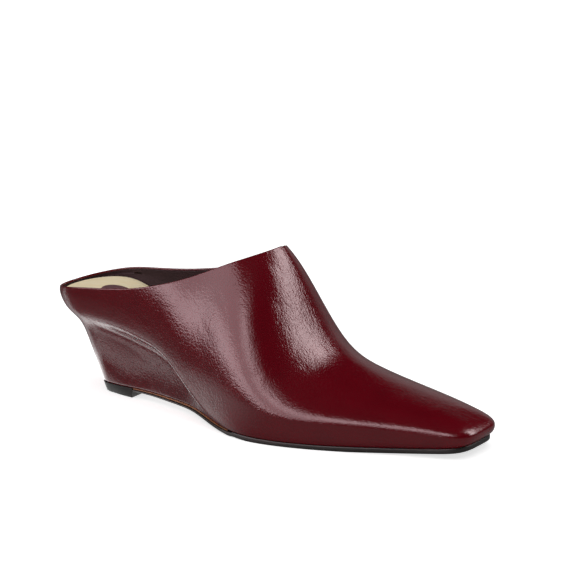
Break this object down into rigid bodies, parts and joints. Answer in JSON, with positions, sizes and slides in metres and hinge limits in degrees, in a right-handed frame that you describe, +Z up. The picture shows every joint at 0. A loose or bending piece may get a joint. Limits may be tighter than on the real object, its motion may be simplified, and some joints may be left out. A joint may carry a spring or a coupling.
{
  "type": "wedge mule",
  "caption": "Closed square-toed leather mule on a low covered wedge heel, open at the back, with a padded insole, a thin sole and a small top lift.",
  "frame": {"origin": "middle of the shoe's box, on the ground", "axes": "+X towards the toe, +Y towards the inner side of the foot, +Z up"},
  "size_m": [0.2484, 0.0858, 0.0855],
  "materials": {
    "upper": "smooth burgundy leather with a waxed shine",
    "wedge_heel": "light heel block, covered by the upper",
    "insole": "matte beige sock leather over soft padding",
    "heel_patch": "plain dull mauve-brown patch",
    "waist_strip": "burnished brown edge",
    "outsole": "matte black rubber",
    "top_lift": "matte black rubber"
  },
  "bodies": {
    "root": {"upper": "upper", "wedge_heel": "wedge_heel", "insole": "insole", "heel_patch": "heel_patch", "waist_strip": "waist_strip", "outsole": "outsole", "top_lift": "top_lift"}
  },
  "joints": []
}
